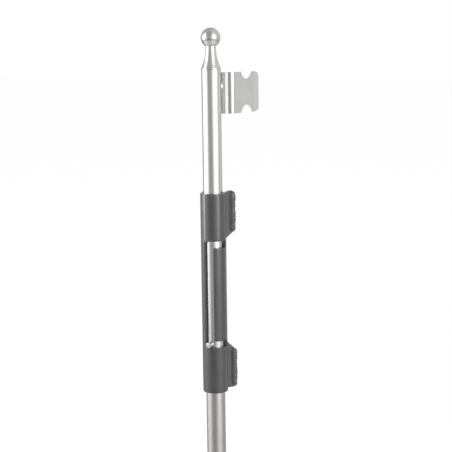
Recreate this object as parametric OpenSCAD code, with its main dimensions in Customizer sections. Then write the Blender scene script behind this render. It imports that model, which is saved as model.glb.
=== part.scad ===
// Drop bolt with a bayonet guide, a ball knob and a spring clip.
// The origin is the centre of the rod's lower end. +Z is up, -Y is the front that is seen in use,
// and +Y points at the flat face that the plates are welded to. Everything is in millimetres.

/* [Rod] */
// Diameter of the round rod
rod_d = 20; // [17:0.5:23]
// Length of the rod from its lower end to the shoulder under the knob
rod_len = 458; // [430:1:520]
// Chamfer at the rod's lower end
tip_chamfer = 1.5; // [0.5:0.5:3]

/* [Knob] */
// Diameter of the ball
ball_d = 20; // [18:0.5:26]
// Height of the flared neck between the rod and the ball
neck_len = 23.5; // [18:0.5:32]
// Diameter of the neck right under the ball
neck_top_d = 10.6; // [9:0.2:13]
// How far the neck's foot stands proud of the rod all round
neck_lip = 0.2; // [0:0.1:0.6]
// Height of the plain rim at the neck's foot
neck_rim = 1.2; // [0.6:0.2:2.4]
// Height of the straight part of the neck under the ball
neck_straight = 1; // [1:0.5:6]
// Diameter of the stud that joins the ball, the neck and the rod
stud_d = 6; // [4:0.5:7]
// Depth of the stud in the rod
stud_in_rod = 20; // [12:1:30]
// Depth of the stud in the ball
stud_in_ball = 6; // [4:0.5:8]
// Running clearance of the stud in the rod, on the radius
stud_clear = 0.05; // [0.01:0.01:0.1]

/* [Guide tube] */
// Height of the guide tube's lower end above the rod's end, with the bolt down
guide_z = 121.2; // [100:0.1:150]
// Length of the guide tube
guide_len = 211; // [180:1:250]
// Wall of the guide tube
guide_wall = 3.1; // [2:0.1:4]
// Running clearance of the rod in the guide tube, on the radius
rod_clear = 0.1; // [0.05:0.01:0.1]
// Chamfer at both ends of the guide tube
guide_chamfer = 0.5; // [0.2:0.1:1]

/* [Bayonet slot] */
// Length of the unbroken collar above and below the slot
collar_len = 49.2; // [30:0.1:60]
// Height of the two level slots that the pin turns into
slot_h = 7; // [7:0.2:10]
// Angle from the middle of the front to the upright slot's left wall, in degrees
slot_left = 22.3; // [20:0.1:26]
// Distance from the middle of the front to the upright slot's right edge
slot_right = 5.3; // [3.6:0.1:6.5]
// How far the level slots run past the rod's axis towards the back
slot_back = 2; // [1.8:0.1:3]
// Radius of the slot's two left corners
slot_round = 3.5; // [1:0.5:3.5]
// Radius of the tongue's two free corners
tongue_round = 1.2; // [0.4:0.2:2]

/* [Stop pin] */
// Diameter of the stop pin
pin_d = 6; // [5:0.2:6]
// How far the pin stands out of the rod
pin_out = 5.2; // [3.6:0.2:6]
// Depth of the pin in the rod
pin_in = 14; // [8:0.5:16]
// Gap that stays between the pin and the slot's edge at the end of its travel
pin_play = 0.3; // [0.1:0.1:0.6]
// Chamfer at the pin's ends
pin_chamfer = 0.4; // [0.2:0.1:0.8]

/* [Side plates] */
// Gap between the rod and the flat face that carries the plates
face_gap = 8; // [6:0.5:12]
// Thickness of the side plates
plate_t = 3; // [2:0.1:3.4]
// Distance from the guide tube's lower end up to the lower plates' front corner
plate_inset = 3.8; // [1:0.1:6]
// Drop of the lower plates' bottom edge from front to back
lower_drop = 3.5; // [0:0.5:6]
// How far the upper plates stand above the guide tube's upper end
plate_over = 1; // [0.5:0.5:3]
// Height of the lower plate's nose above the lower slot edge, beside the parked pin
nose_h = 5; // [3:0.2:7]
// Drop of the lower plate's top edge from its nose to the back
nose_drop = 10.3; // [4:0.1:16]
// Distance from the upper slot edge up to the upper plate's lower front corner
upper_step = 2; // [0.5:0.5:4]
// Rise of the upper plate's lower edge from front to back
upper_rise = 4; // [0:0.5:12]

/* [Welds] */
// Leg of the weld beads along the plates' back edges
weld_leg = 4.5; // [3:0.1:5]
// Distance between the ripples of a bead
weld_pitch = 3; // [2:0.5:4]
// Share by which the ripples differ in size
weld_ripple = 0.06; // [0:0.01:0.1]
// Distance that a bead stays back from its plate's ends
weld_inset = 0.5; // [0:0.5:4]
// Reach of the seam beads between the guide tube and the plates
seam_reach = 3; // [2:0.2:3.6]

/* [Clip] */
// Sheet thickness of the spring clip
clip_t = 1; // [0.8:0.1:1.4]
// Height of the clip
clip_h = 42; // [36:1:50]
// Distance from the neck's foot down to the clip's top edge
clip_drop = 2.8; // [1:0.2:20]
// Gap between the clip's leaf and the rod
clip_gap = 0.3; // [0.1:0.1:0.6]
// Distance from the rod's axis to the centre of the clip's corner bend
corner_x = 14; // [13:0.5:20]
// Inner radius of the corner bend
corner_r = 4.6; // [3:0.2:6]
// Angle that the clip's side leg is flared outwards, in degrees
flare = 7; // [0:0.5:10]
// Length of the side leg up to the lip
leg_len = 34; // [32:0.5:50]
// Angle that the lip is bent outwards from the leg, in degrees
lip_angle = 17; // [5:1:40]
// Inner radius of the lip's bend
lip_r = 3; // [1:0.5:6]
// Length of the lip
lip_len = 7.5; // [6:0.5:12]
// Radius of the lip's two corners
lip_round = 5.5; // [2:0.5:6]
// Width of the two notches in the side leg
notch_w = 21; // [12:0.5:22]
// Depth of the upper notch
notch_top = 7.4; // [3:0.2:12]
// Depth of the lower notch
notch_low = 8; // [3:0.2:12]
// Distance from the corner bend to the middle of the notches
notch_at = 22.3; // [18:0.1:23]
// Height of the round-ended slot in the leaf behind the rod
leaf_slot_h = 4.4; // [2:0.2:6]
// Distance from the rod's axis to the right end of that slot
leaf_slot_x = 8.4; // [4:0.2:9]
// Length of that slot
leaf_slot_len = 10; // [7:0.5:12]
// Height of that slot above the clip's middle
leaf_slot_up = 7; // [0:0.5:12]
// Length of the flat foot that is screwed down
foot_len = 8.4; // [8:0.2:11]
// Slope of the clip between its foot and its leaf, in degrees
foot_slope = 60; // [45:1:70]
// Inner radius of the two bends between foot and leaf
foot_r = 1.5; // [1:0.1:2]

/* [Clip screws] */
// Outer diameter of the screw thread
screw_d = 4.2; // [3:0.1:4.6]
// Core diameter of the screw thread
screw_core_d = 3.2; // [2.2:0.1:3.4]
// Diameter of the pan head
head_d = 7.6; // [7:0.1:8]
// Height of the pan head
head_h = 2.6; // [2:0.1:3.2]
// Length under the head
screw_len = 13; // [9:0.5:19]
// Pitch of the thread
screw_pitch = 1.4; // [1:0.1:2]
// Distance between the two screws
screw_gap = 22; // [12:1:26]
// Clearance of the screw in the clip's hole, on the radius
screw_clear = 0.15; // [0.05:0.05:0.3]
// Width of the cross recess
recess_w = 1; // [0.6:0.1:1.4]
// Depth of the cross recess
recess_h = 1.4; // [0.8:0.1:1.6]

/* [Hidden] */
$fn = 96;

paint = [0.30, 0.30, 0.31];
weld_metal = [0.42, 0.42, 0.43];
plated = [0.78, 0.79, 0.80];
spring_steel = [0.72, 0.72, 0.72];

rod_r = rod_d / 2;
bore_r = rod_r + rod_clear;
guide_r = bore_r + guide_wall;
guide_top = guide_z + guide_len;
face_y = rod_r + face_gap;

slot_z0 = guide_z + collar_len;
slot_z1 = guide_top - collar_len;

pin_r = pin_d / 2;
pin_z = slot_z0 + pin_play + pin_r;
press_gap = 0.01;

// Rounding arcs are drawn this much oversize, so that they cross the flats in place of just touching them.
arc_over = 0.002;

neck_top_r = neck_top_d / 2;
neck_foot_r = rod_r + neck_lip;
neck_top_z = rod_len + neck_len;
flare_h = neck_len - neck_straight - neck_rim;
flare_in = neck_foot_r - neck_top_r;
flare_r = (flare_in * flare_in + flare_h * flare_h) / (2 * flare_in);
ball_r = ball_d / 2;
ball_z = neck_top_z + sqrt(ball_r * ball_r - neck_top_r * neck_top_r);

upper_z0 = slot_z1 + upper_step;
upper_z1 = guide_top + plate_over;
lower_z0 = guide_z + plate_inset;
lower_back_z0 = lower_z0 - lower_drop;
lower_z1 = slot_z0 + nose_h;
weld_back = weld_leg / 4;
weld_r = sqrt(pow(weld_leg + weld_back, 2) + pow(weld_back, 2));

clip_z1 = rod_len - clip_drop;
clip_z0 = clip_z1 - clip_h;
clip_mid = clip_z1 - clip_h / 2;
leaf_y = rod_r + clip_gap;
foot_rise = face_y - clip_t - leaf_y;
slope_len = (foot_rise - (2 * foot_r + clip_t) * (1 - cos(foot_slope))) / sin(foot_slope);
slope_run = slope_len * cos(foot_slope) + (2 * foot_r + clip_t) * sin(foot_slope);
foot_x = -(foot_len / 2 + slope_run + 3.5);
leaf_x = foot_x + foot_len / 2 + slope_run;

module turned_tube(r_in, r_out, len, edge) {
    rotate_extrude()
        polygon([[r_in, edge], [r_in + edge, 0], [r_out - edge, 0], [r_out, edge],
            [r_out, len - edge], [r_out - edge, len], [r_in + edge, len], [r_in, len - edge]]);
}

module turned_pin(r, len, edge) {
    rotate_extrude()
        polygon([[0, 0], [r - edge, 0], [r, edge], [r, len - edge], [r - edge, len], [0, len]]);
}

module rounded_left(x0, x1, z0, z1, r) {
    translate([x0, z0 + r]) square([x1 - x0, z1 - z0 - 2 * r]);
    translate([x0 + r, z0]) square([x1 - x0 - r, z1 - z0]);
    for (z = [z0 + r, z1 - r])
        translate([x0 + r, z]) circle(r);
}

// The right part of the bayonet slot as seen from the front: two level slots joined by an upright one.
// The tongue between them stays.
module slot_outline() {
    past_side = guide_r + 1;
    difference() {
        translate([0, slot_z0]) square([past_side, slot_z1 - slot_z0]);
        rounded_left(slot_right, past_side + 1, slot_z0 + slot_h, slot_z1 - slot_h, tongue_round);
    }
}

// The left part of the slot. Its left wall stands square to the tube's wall and has rounded corners.
module slot_left_part() {
    far = guide_r + 1;
    difference() {
        translate([0, 0, slot_z0])
            linear_extrude(height = slot_z1 - slot_z0)
                polygon([[0, 0], [-far * sin(slot_left), -far * cos(slot_left)], [1, -far], [1, 0]]);
        for (end = [0, 1])
            translate([0, 0, end == 0 ? slot_z0 : slot_z1])
                mirror([0, 0, end])
                    rotate([90, 0, -slot_left])
                        linear_extrude(height = far + 1)
                            difference() {
                                translate([-1, -1]) square(slot_round + 1);
                                translate([slot_round, slot_round]) circle(slot_round + arc_over);
                            }
    }
}

module guide_tube() {
    color(paint)
        difference() {
            translate([0, 0, guide_z])
                turned_tube(bore_r, guide_r, guide_len, guide_chamfer);
            translate([0, slot_back, 0])
                rotate([90, 0, 0])
                    linear_extrude(height = slot_back + guide_r + 1)
                        slot_outline();
            slot_left_part();
        }
}

// One side plate, coped to the tube and standing on the mounting face.
// The four heights are its lower and upper edge at the front and at the back.
module side_plate(front_low, front_high, back_low, back_high) {
    color(paint)
        difference() {
            translate([guide_r - plate_t, 0, 0])
                rotate([90, 0, 90])
                    linear_extrude(height = plate_t)
                        polygon([[slot_back, front_low], [face_y, back_low],
                            [face_y, back_high], [slot_back, front_high]]);
            translate([0, 0, guide_z - 1])
                cylinder(r = guide_r, h = guide_len + plate_over + 2);
        }
}

module upper_right_plate() {
    side_plate(upper_z0, upper_z1, upper_z0 + upper_rise, upper_z1);
}

module upper_left_plate() {
    mirror([1, 0, 0]) upper_right_plate();
}

module lower_right_plate() {
    side_plate(lower_z0, lower_z1, lower_back_z0, lower_z1 - nose_drop);
}

module lower_left_plate() {
    mirror([1, 0, 0]) lower_right_plate();
}

// A rippled fillet weld in the corner between a plate's outer side and the mounting face.
module weld_bead(z0, z1) {
    run = z1 - z0 - 2 * weld_leg;
    ripples = round(run / weld_pitch);
    color(weld_metal)
        intersection() {
            translate([guide_r, face_y - 2 * weld_leg, z0])
                cube([2 * weld_leg, 2 * weld_leg, z1 - z0]);
            for (i = [0 : ripples])
                translate([guide_r - weld_back, face_y + weld_back, z0 + weld_leg + i * run / ripples])
                    sphere(weld_r * (1 - weld_ripple * abs(sin(i * 77))));
        }
}

module upper_right_weld() {
    weld_bead(upper_z0 + upper_rise + weld_inset, upper_z1 - weld_inset);
}

module upper_left_weld() {
    mirror([1, 0, 0]) upper_right_weld();
}

module lower_right_weld() {
    weld_bead(lower_back_z0 + weld_inset, lower_z1 - nose_drop - weld_inset);
}

module lower_left_weld() {
    mirror([1, 0, 0]) lower_right_weld();
}

// Hidden seams that join the plates to the tube, in the corners behind it.
module seam_welds(z0, z1) {
    inner_x = guide_r - plate_t;
    touch_y = sqrt(guide_r * guide_r - inner_x * inner_x);
    color(weld_metal)
        for (side = [0, 1])
            mirror([side, 0, 0])
                difference() {
                    intersection() {
                        translate([inner_x, touch_y, z0])
                            cylinder(r = seam_reach, h = z1 - z0);
                        translate([0, 0, z0])
                            cube([inner_x, face_y, z1 - z0]);
                    }
                    translate([0, 0, z0 - 1])
                        cylinder(r = guide_r, h = z1 - z0 + 2);
                }
}

module upper_seam_welds() {
    seam_welds(upper_z0 + upper_rise, guide_top - seam_reach);
}

module lower_seam_welds() {
    seam_welds(guide_z + seam_reach, lower_z1 - nose_drop);
}

// The clip from above, as flats with bends between them: foot on the mounting face, slope, leaf behind
// the rod, side leg and lip. Headings count from +X towards +Y, and a bend's reach is the distance
// from its sharp corner to where its arc starts, along the middle of the sheet.
flats = [foot_len, slope_len, corner_x - leaf_x, leg_len, lip_len];
headings = [0, -foot_slope, 0, 90 - flare, 90 - flare - lip_angle];
bend_radii = [foot_r, foot_r, corner_r, lip_r];
last = len(flats) - 1;

function turn(i) = i < 1 || i > last ? 0 : headings[i] - headings[i - 1];
function reach(i) = i < 1 || i > last ? 0 : (bend_radii[i - 1] + clip_t / 2) * tan(abs(turn(i)) / 2);
function heading(i) = headings[min(i, last)] - turn(i) / 2;
function along(a) = [cos(a), sin(a)];
function across(a) = [-sin(a), cos(a)];
function knee(i) = i == 0
    ? [foot_x - foot_len / 2, face_y - clip_t / 2]
    : knee(i - 1) + (reach(i - 1) + flats[i - 1] + reach(i)) * along(headings[i - 1]);
function edge(i, side) = knee(i) + side * clip_t / 2 / cos(turn(i) / 2) * across(heading(i));

// The part of a bend between a radius and the corner that two lines from its centre span.
module bend_wedge(i, r, far, corner) {
    side = -sign(turn(i));
    span = far * (corner ? 1 / cos(turn(i) / 2) : 1);
    low = side < 0 ? i - 1 : i;
    high = side < 0 ? i : i - 1;
    difference() {
        polygon([[0, 0], far * side * across(headings[low]),
            span * side * across(heading(i)), far * side * across(headings[high])]);
        circle(r + arc_over);
    }
}

module at_bend(i) {
    middle_r = bend_radii[i - 1] + clip_t / 2;
    translate(knee(i) + sign(turn(i)) * middle_r / cos(turn(i) / 2) * across(heading(i)))
        children();
}

module clip_outline() {
    difference() {
        union() {
            polygon(concat([for (i = [0 : last + 1]) edge(i, -1)],
                [for (i = [0 : last + 1]) edge(last + 1 - i, 1)]));
            for (i = [1 : last])
                at_bend(i) bend_wedge(i, bend_radii[i - 1], bend_radii[i - 1] + clip_t / 2, true);
        }
        for (i = [1 : last])
            at_bend(i) bend_wedge(i, bend_radii[i - 1] + clip_t, 2 * (bend_radii[i - 1] + clip_t), false);
    }
}

leg_y = leaf_y + clip_t + corner_r - (corner_r + clip_t) * sin(flare);
leg_end_y = leg_y + leg_len * cos(flare);
tip_angle = flare + lip_angle;
lip_end_y = leg_end_y + lip_r * (sin(tip_angle) - sin(flare)) + lip_len * cos(tip_angle)
    + clip_t * sin(tip_angle);

// A round-bottomed notch of the given depth, cut along X, with its open side upwards.
module notch(depth) {
    r = (notch_w * notch_w / 4 + depth * depth) / (2 * depth);
    translate([0, leg_y + notch_at * cos(flare), r - depth])
        rotate([0, 90, 0])
            cylinder(r = r, h = 3 * corner_x);
}

// What has to go to round the lip's upper corner, cut along X.
module lip_corner() {
    size = lip_round + 1;
    translate([0, lip_end_y - lip_round, -lip_round])
        difference() {
            cube([3 * corner_x, size, size]);
            translate([-1, 0, 0])
                rotate([0, 90, 0])
                    cylinder(r = lip_round, h = 3 * corner_x + 2);
        }
}

module leaf_slot() {
    r = leaf_slot_h / 2;
    translate([leaf_slot_x - r, leaf_y - 1, clip_mid + leaf_slot_up])
        rotate([-90, 0, 0]) {
            cylinder(r = r, h = clip_t + 2);
            translate([2 * r - leaf_slot_len, 0, 0])
                cylinder(r = r, h = clip_t + 2);
            translate([2 * r - leaf_slot_len, -r, 0])
                cube([leaf_slot_len - 2 * r, leaf_slot_h, clip_t + 2]);
        }
}

module at_screws() {
    for (side = [-1, 1])
        translate([foot_x, face_y - clip_t, clip_mid + side * screw_gap / 2])
            rotate([-90, 0, 0])
                children();
}

module retaining_clip() {
    color(spring_steel)
        difference() {
            translate([0, 0, clip_z0])
                linear_extrude(height = clip_h)
                    clip_outline();
            translate([0, 0, clip_z1]) {
                notch(notch_top);
                lip_corner();
            }
            translate([0, 0, clip_z0])
                mirror([0, 0, 1]) {
                    notch(notch_low);
                    lip_corner();
                }
            leaf_slot();
            at_screws()
                translate([0, 0, -1])
                    cylinder(r = screw_d / 2 + screw_clear, h = clip_t + 2);
        }
}

// A pan head screw along +Z, with the underside of its head at z = 0.
module pan_screw() {
    core_r = screw_core_d / 2;
    turns = floor((screw_len - clip_t - screw_d) / screw_pitch);
    difference() {
        union() {
            rotate_extrude()
                intersection() {
                    translate([0, -head_h]) square([head_d / 2, head_h]);
                    translate([0, head_d - head_h]) circle(head_d);
                }
            rotate_extrude()
                polygon(concat(
                    [[0, -head_h / 2], [core_r, -head_h / 2], [core_r, clip_t]],
                    [for (i = [0 : turns - 1], side = [0, 1])
                        [side == 0 ? core_r : screw_d / 2, clip_t + (i + 0.1 + side * 0.5) * screw_pitch]],
                    [[core_r, screw_len - screw_d], [core_r * 0.8, screw_len - 1.2 * core_r], [0, screw_len]]));
        }
        for (turn = [0, 90])
            rotate(turn)
                translate([-head_d / 4, -recess_w / 2, -head_h - 1])
                    cube([head_d / 2, recess_w, recess_h + 1]);
    }
}

module clip_screws() {
    color(plated)
        at_screws() pan_screw();
}

module bolt_rod() {
    color(plated)
        difference() {
            rotate_extrude()
                polygon([[0, 0], [rod_r - tip_chamfer, 0], [rod_r, tip_chamfer],
                    [rod_r, rod_len], [0, rod_len]]);
            translate([0, 0, rod_len - stud_in_rod - 1])
                cylinder(r = stud_d / 2 + stud_clear, h = stud_in_rod + 2);
            translate([0, pin_in - rod_r, pin_z])
                rotate([90, 0, 0])
                    cylinder(r = pin_r + press_gap, h = pin_in + 1);
        }
}

module stop_pin() {
    color(plated)
        translate([0, pin_in - rod_r, pin_z])
            rotate([90, 0, 0])
                turned_pin(pin_r, pin_in + pin_out, pin_chamfer);
}

module knob_neck() {
    flare_z = neck_len - neck_straight;
    color(plated)
        translate([0, 0, rod_len])
            difference() {
                rotate_extrude()
                    difference() {
                        square([neck_foot_r, neck_len]);
                        translate([neck_top_r + flare_r, flare_z]) circle(flare_r, $fn = 360);
                        translate([neck_top_r, flare_z]) square([neck_foot_r, neck_straight + 1]);
                    }
                translate([0, 0, -1])
                    cylinder(r = stud_d / 2 + press_gap, h = neck_len + 2);
            }
}

module knob_ball() {
    color(plated)
        difference() {
            translate([0, 0, ball_z]) sphere(ball_r);
            translate([-ball_r, -ball_r, neck_top_z - ball_d])
                cube([ball_d, ball_d, ball_d]);
            translate([0, 0, neck_top_z - 1])
                cylinder(r = stud_d / 2 + press_gap, h = stud_in_ball + 1);
        }
}

module knob_stud() {
    color(spring_steel)
        translate([0, 0, rod_len - stud_in_rod])
            turned_pin(stud_d / 2, stud_in_rod + neck_len + stud_in_ball, stud_d / 12);
}

guide_tube();
upper_left_plate();
upper_right_plate();
lower_left_plate();
lower_right_plate();
upper_left_weld();
upper_right_weld();
lower_left_weld();
lower_right_weld();
upper_seam_welds();
lower_seam_welds();
retaining_clip();
clip_screws();
bolt_rod();
stop_pin();
knob_neck();
knob_ball();
knob_stud();
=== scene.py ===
import math

import bmesh
import bpy
from mathutils import Matrix, Vector
from mathutils.geometry import delaunay_2d_cdt


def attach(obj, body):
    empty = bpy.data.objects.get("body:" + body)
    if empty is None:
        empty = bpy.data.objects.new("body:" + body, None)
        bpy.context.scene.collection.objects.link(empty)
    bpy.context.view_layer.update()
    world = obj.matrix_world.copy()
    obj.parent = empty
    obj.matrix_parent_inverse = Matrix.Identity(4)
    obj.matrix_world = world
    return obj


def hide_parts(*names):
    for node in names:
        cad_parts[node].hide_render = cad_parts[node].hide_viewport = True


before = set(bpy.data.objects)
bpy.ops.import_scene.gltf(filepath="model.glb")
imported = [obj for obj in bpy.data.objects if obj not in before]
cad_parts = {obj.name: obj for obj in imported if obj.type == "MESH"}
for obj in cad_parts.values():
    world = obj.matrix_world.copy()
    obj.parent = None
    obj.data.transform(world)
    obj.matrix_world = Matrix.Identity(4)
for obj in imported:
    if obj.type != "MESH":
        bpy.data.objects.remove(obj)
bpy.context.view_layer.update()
mm = 0.001
weldDistance = 1e-7


# materials

def makeGroup(name, inputs, outputs):
    tree = bpy.data.node_groups.new(name, "ShaderNodeTree")
    for label, kind, value in inputs:
        socket = tree.interface.new_socket(label, in_out="INPUT", socket_type=kind)
        socket.default_value = value
    for label, kind in outputs:
        tree.interface.new_socket(label, in_out="OUTPUT", socket_type=kind)
    return tree, tree.nodes.new("NodeGroupInput"), tree.nodes.new("NodeGroupOutput")


def stretchedNoise(tree, source, stretch, scale, detail=3.0, roughness=0.55):
    mapping = tree.nodes.new("ShaderNodeMapping")
    mapping.inputs["Scale"].default_value = stretch
    noise = tree.nodes.new("ShaderNodeTexNoise")
    noise.inputs["Scale"].default_value = scale
    noise.inputs["Detail"].default_value = detail
    noise.inputs["Roughness"].default_value = roughness
    tree.links.new(source, mapping.inputs["Vector"])
    tree.links.new(mapping.outputs["Vector"], noise.inputs["Vector"])
    return noise.outputs["Fac"]


def ranged(tree, value, fromLow, fromHigh, toLow, toHigh):
    node = tree.nodes.new("ShaderNodeMapRange")
    node.inputs["From Min"].default_value = fromLow
    node.inputs["From Max"].default_value = fromHigh
    node.inputs["To Min"].default_value = toLow
    node.inputs["To Max"].default_value = toHigh
    tree.links.new(value, node.inputs["Value"])
    return node.outputs["Result"]


def maths(tree, operation, a, b):
    node = tree.nodes.new("ShaderNodeMath")
    node.operation = operation
    for socket, value in zip(node.inputs, (a, b)):
        if isinstance(value, (int, float)):
            socket.default_value = value
        else:
            tree.links.new(value, socket)
    return node.outputs["Value"]


def times(tree, a, b):
    return maths(tree, "MULTIPLY", a, b)


def plus(tree, a, b):
    return maths(tree, "ADD", a, b)


# Dust and light dirt: a soft cloud with specks in it, as a mask
dustTree, dustIn, dustOut = makeGroup("settledDust", [("Position", "NodeSocketVector", (0, 0, 0)),
    ("Amount", "NodeSocketFloat", 0.5), ("Speck size", "NodeSocketFloat", 0.7)],
    [("Mask", "NodeSocketFloat")])
puffs = stretchedNoise(dustTree, dustIn.outputs["Position"], (1, 1, 0.5), 38)
cloud = ranged(dustTree, puffs, 0.42, 0.72, 0, 1)
speckScale = maths(dustTree, "DIVIDE", 1400, dustIn.outputs["Speck size"])
specks = dustTree.nodes.new("ShaderNodeTexVoronoi")
dustTree.links.new(dustIn.outputs["Position"], specks.inputs["Vector"])
dustTree.links.new(speckScale, specks.inputs["Scale"])
speckMask = ranged(dustTree, specks.outputs["Distance"], 0.06, 0.16, 1, 0)
both = plus(dustTree, times(dustTree, cloud, 0.5), times(dustTree, speckMask, cloud))
dustTree.links.new(times(dustTree, both, dustIn.outputs["Amount"]), dustOut.inputs["Mask"])

# Scratches and grain that run along one axis, as a height and as a mask
grainTree, grainIn, grainOut = makeGroup("drawnGrain", [("Position", "NodeSocketVector", (0, 0, 0)),
    ("Fineness", "NodeSocketFloat", 1)], [("Height", "NodeSocketFloat"), ("Tone", "NodeSocketFloat")])
sized = grainTree.nodes.new("ShaderNodeVectorMath")
sized.operation = "SCALE"
grainTree.links.new(grainIn.outputs["Position"], sized.inputs[0])
grainTree.links.new(grainIn.outputs["Fineness"], sized.inputs["Scale"])
fine = stretchedNoise(grainTree, sized.outputs["Vector"], (1, 1, 0.03), 2600, 2)
coarse = stretchedNoise(grainTree, sized.outputs["Vector"], (1, 1, 0.012), 620, 3)
drawn = plus(grainTree, times(grainTree, fine, 0.6), times(grainTree, coarse, 0.4))
grainTree.links.new(drawn, grainOut.inputs["Height"])
grainTree.links.new(coarse, grainOut.inputs["Tone"])


def startMaterial(name):
    material = bpy.data.materials.new(name)
    material.use_nodes = True
    tree = material.node_tree
    shader = tree.nodes["Principled BSDF"]
    position = tree.nodes.new("ShaderNodeTexCoord").outputs["Object"]
    return material, tree, shader, position


def useGroup(tree, group, position, **values):
    node = tree.nodes.new("ShaderNodeGroup")
    node.node_tree = group
    tree.links.new(position, node.inputs["Position"])
    for label, value in values.items():
        node.inputs[label.replace("_", " ")].default_value = value
    return node


def blendColours(tree, factor, low, high, blend="MIX"):
    node = tree.nodes.new("ShaderNodeMix")
    node.data_type = "RGBA"
    node.blend_type = blend
    for socket, value in ((node.inputs[6], low), (node.inputs[7], high)):
        if isinstance(value, tuple):
            socket.default_value = (*value, 1)
        else:
            tree.links.new(value, socket)
    tree.links.new(factor, node.inputs[0])
    return node.outputs[2]


def addBump(tree, shader, height, strength, distance):
    bump = tree.nodes.new("ShaderNodeBump")
    bump.inputs["Strength"].default_value = strength
    bump.inputs["Distance"].default_value = distance
    tree.links.new(height, bump.inputs["Height"])
    tree.links.new(bump.outputs["Normal"], shader.inputs["Normal"])


# Thick dark grey gloss paint
def glossPaint(name, look):
    material, tree, shader, position = startMaterial(name)
    dust = useGroup(tree, dustTree, position, Amount=look["dust"], Speck_size=0.7)
    patches = ranged(tree, stretchedNoise(tree, position, (1, 1, 0.6), 60), 0.35, 0.7, 0, 1)
    body = blendColours(tree, patches, look["dark"], look["light"])
    colour = blendColours(tree, dust.outputs["Mask"], body, look["dustColour"])
    tree.links.new(colour, shader.inputs["Base Color"])
    smoothest, roughest = look["roughness"] - 0.03, look["roughness"] + 0.05
    cloudy = ranged(tree, stretchedNoise(tree, position, (1, 1, 1), 140), 0.3, 0.7, smoothest, roughest)
    tree.links.new(plus(tree, cloudy, times(tree, dust.outputs["Mask"], 0.1)), shader.inputs["Roughness"])
    shader.inputs["IOR"].default_value = 1.52
    shader.inputs["Coat Weight"].default_value = look["coat"]
    shader.inputs["Coat Roughness"].default_value = look["coatRoughness"]
    peel = stretchedNoise(tree, position, (1, 1, 1), 260, 2)
    ripple = stretchedNoise(tree, position, (1, 1, 0.5), 1100, 2)
    addBump(tree, shader, plus(tree, peel, times(tree, ripple, 0.25)), look["peel"], look["peelHeight"])
    return material


# Bright zinc plate over drawn or turned steel
def zincPlate(name, look):
    material, tree, shader, position = startMaterial(name)
    grain = useGroup(tree, grainTree, position, Fineness=look["fineness"])
    dust = useGroup(tree, dustTree, position, Amount=look["dust"], Speck_size=0.5)
    tone = ranged(tree, grain.outputs["Tone"], 0.3, 0.7, 0, 1)
    tint = ranged(tree, stretchedNoise(tree, position, (1, 1, 0.35), 30), 0.35, 0.65, 0, 1)
    plate = blendColours(tree, tone, look["dark"], look["light"])
    warmed = blendColours(tree, times(tree, tint, 0.6), plate, look["tint"], "MULTIPLY")
    colour = blendColours(tree, dust.outputs["Mask"], warmed, look["dustColour"])
    tree.links.new(colour, shader.inputs["Base Color"])
    streak = ranged(tree, grain.outputs["Tone"], 0.3, 0.7, look["roughness"] - 0.03, look["roughness"] + 0.04)
    rough = plus(tree, streak, times(tree, dust.outputs["Mask"], 0.2))
    # Below a given height the colour turns darker and rougher, in patches
    if "darkerBelow" in look:
        height = tree.nodes.new("ShaderNodeSeparateXYZ")
        tree.links.new(position, height.inputs["Vector"])
        patchy = ranged(tree, stretchedNoise(tree, position, (1, 1, 0.7), 120, 4), 0.3, 0.7, 0.5, 1)
        lowShare = times(tree, ranged(tree, height.outputs["Z"], *look["darkerBelow"], 0, 1), patchy)
        tree.links.new(blendColours(tree, lowShare, colour, look["lowColour"]), shader.inputs["Base Color"])
        rough = plus(tree, rough, times(tree, lowShare, look["lowRoughness"]))
    tree.links.new(rough, shader.inputs["Roughness"])
    shader.inputs["Metallic"].default_value = 1
    addBump(tree, shader, grain.outputs["Height"], look["grain"], look["grainHeight"])
    return material


# Rolled stainless sheet, with its grain along the sheet
def rolledSheet(name, look):
    material, tree, shader, position = startMaterial(name)
    mottle = stretchedNoise(tree, position, (1, 1, 1), 420, 4, 0.7)
    grain = stretchedNoise(tree, position, (0.04, 0.04, 1), 2400, 2)
    smudge = ranged(tree, stretchedNoise(tree, position, (1, 1, 1), 55, 2), 0.38, 0.68, 0, 1)
    rolled = plus(tree, times(tree, mottle, 0.6), times(tree, grain, 0.4))
    tone = ranged(tree, rolled, 0.35, 0.65, 0, 1)
    tree.links.new(blendColours(tree, tone, look["dark"], look["light"]), shader.inputs["Base Color"])
    rough = ranged(tree, tone, 0, 1, look["roughness"] - 0.03, look["roughness"] + 0.03)
    tree.links.new(plus(tree, rough, times(tree, smudge, 0.05)), shader.inputs["Roughness"])
    shader.inputs["Metallic"].default_value = 1
    addBump(tree, shader, plus(tree, mottle, times(tree, grain, 0.4)), look["grain"], look["grainHeight"])
    return material


paintLook = {"dark": (0.050, 0.050, 0.054), "light": (0.060, 0.060, 0.064), "dustColour": (0.26, 0.25, 0.24),
    "dust": 0.10, "roughness": 0.30, "coat": 0.8, "coatRoughness": 0.12, "peel": 0.22, "peelHeight": 0.00012}
weldLook = {"peel": 0.40, "coat": 1.0, "coatRoughness": 0.06, "dust": 0.06}
zincLook = {"dark": (0.66, 0.65, 0.645), "light": (0.74, 0.735, 0.73), "tint": (0.97, 0.96, 0.93),
    "dustColour": (0.45, 0.43, 0.40), "dust": 0.10, "roughness": 0.21, "grain": 0.10, "grainHeight": 0.00003,
    "fineness": 1.0}
# Darker and rougher towards the rod's lower end: the heights this fades in over, its colour and the roughness
# it adds
rodDarkerLow = {"darkerBelow": (0.128, 0.112), "lowColour": (0.50, 0.48, 0.455), "lowRoughness": 0.17}
ballTones = {"dark": (0.62, 0.61, 0.60), "light": (0.72, 0.71, 0.70)}
steelTones = {"dark": (0.45, 0.44, 0.43), "light": (0.55, 0.54, 0.53)}
sheetLook = {"dark": (0.57, 0.565, 0.56), "light": (0.68, 0.68, 0.675), "roughness": 0.19, "grain": 0.12,
    "grainHeight": 0.00003}

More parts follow.
